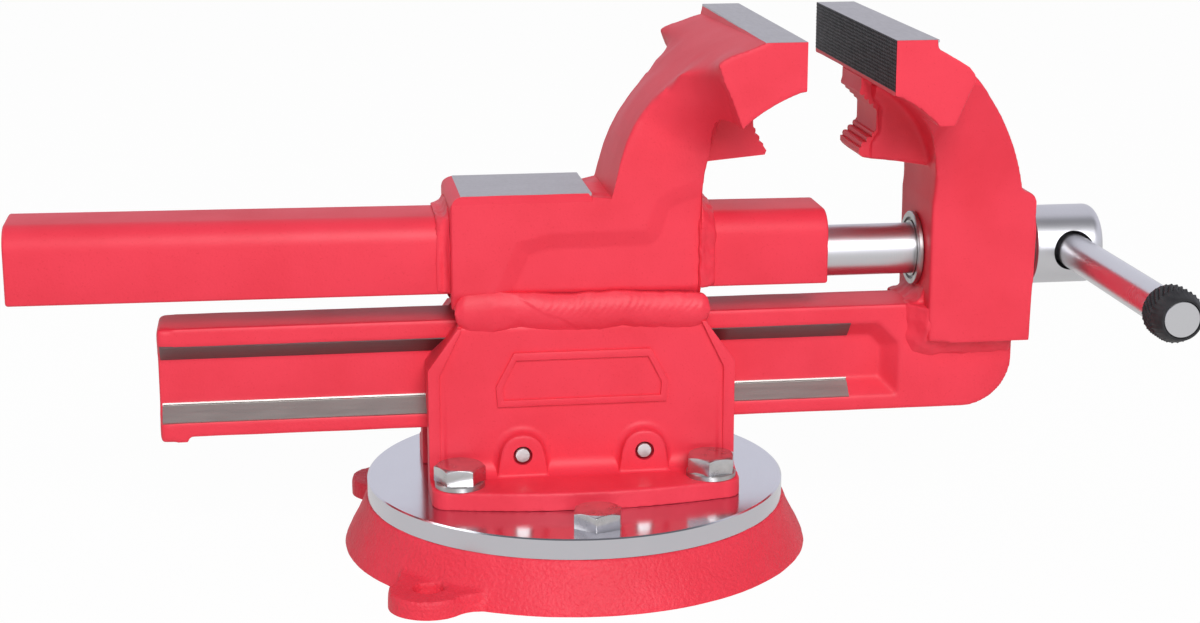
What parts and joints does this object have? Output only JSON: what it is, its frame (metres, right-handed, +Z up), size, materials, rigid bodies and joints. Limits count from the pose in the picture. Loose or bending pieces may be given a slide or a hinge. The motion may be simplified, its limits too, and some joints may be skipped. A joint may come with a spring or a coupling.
{
  "type": "swivel bench vise",
  "caption": "Red forged bench vise on a round swivel base, with a T-grooved guide bar, an overhead screw guard, pipe jaws and a sliding tommy bar handle.",
  "frame": {"origin": "On the swivel axis, on the flat bottom of the base where it stands on the bench.", "axes": "+X along the guide bar towards the moving jaw and the handle, +Y across the jaws, +Z up along the swivel axis."},
  "size_m": [0.4225, 0.252, 0.2028],
  "materials": {
    "red_paint": "satin red paint over forged steel",
    "cast_paint": "red paint over rough cast iron",
    "ground_steel": "ground and turned bare steel",
    "zinc_steel": "zinc plated steel",
    "bright_steel": "polished bright steel",
    "black_oxide": "knurled black steel"
  },
  "bodies": {
    "base": {"swivel_base": "cast_paint"},
    "turntable": {"swivel_plate": "ground_steel", "pivot_pin": "ground_steel", "left_clamp_nut": "zinc_steel", "right_clamp_nut": "zinc_steel", "left_cheek": "red_paint", "right_cheek": "red_paint", "foot_washers": "zinc_steel", "foot_bolts": "zinc_steel", "guide_shoe": "ground_steel", "shoe_pins": "zinc_steel", "left_cheek_weld": "red_paint", "right_cheek_weld": "red_paint", "fixed_jaw": "red_paint", "screw_guard": "red_paint", "rear_guard_weld": "red_paint", "front_guard_weld": "red_paint", "spindle_nut": "zinc_steel"},
    "left_lock": {"left_lock_bolt": "zinc_steel"},
    "right_lock": {"right_lock_bolt": "zinc_steel"},
    "slide": {"guide_bar": "red_paint", "front_jaw": "red_paint", "front_jaw_weld": "red_paint"},
    "screw": {"spindle": "bright_steel", "retaining_ring": "zinc_steel", "thrust_washer": "zinc_steel"},
    "handle": {"tommy_bar": "bright_steel", "left_handle_ring": "black_oxide", "right_handle_ring": "black_oxide"}
  },
  "joints": [
    {"name": "swivel", "type": "hinge", "parent": "base", "child": "turntable", "pos_m": [0, 0, 0.0187], "axis": [0, 0, 1], "continuous": true},
    {"name": "left_lock_turn", "type": "hinge", "parent": "turntable", "child": "left_lock", "pos_m": [0, -0.0665, 0.0265], "axis": [0, 0, 1], "range_deg": [0, 180]},
    {"name": "right_lock_turn", "type": "hinge", "parent": "turntable", "child": "right_lock", "pos_m": [0, 0.0665, 0.0265], "axis": [0, 0, 1], "range_deg": [0, 180]},
    {"name": "jaw_slide", "type": "slide", "parent": "turntable", "child": "slide", "axis": [1, 0, 0], "range_m": [-0.0315, 0.117]},
    {"name": "spindle_turn", "type": "hinge", "parent": "slide", "child": "screw", "pos_m": [0.1808, 0, 0.1124], "axis": [1, 0, 0], "range_deg": [-2268, 8424]},
    {"name": "handle_slide", "type": "slide", "parent": "screw", "child": "handle", "axis": [0, 1, 0], "range_m": [-0.095, 0.095]}
  ],
  "couplings": [
    {"joint": "jaw_slide", "follows": "spindle_turn", "m_per_rad": 0.00079577}
  ]
}
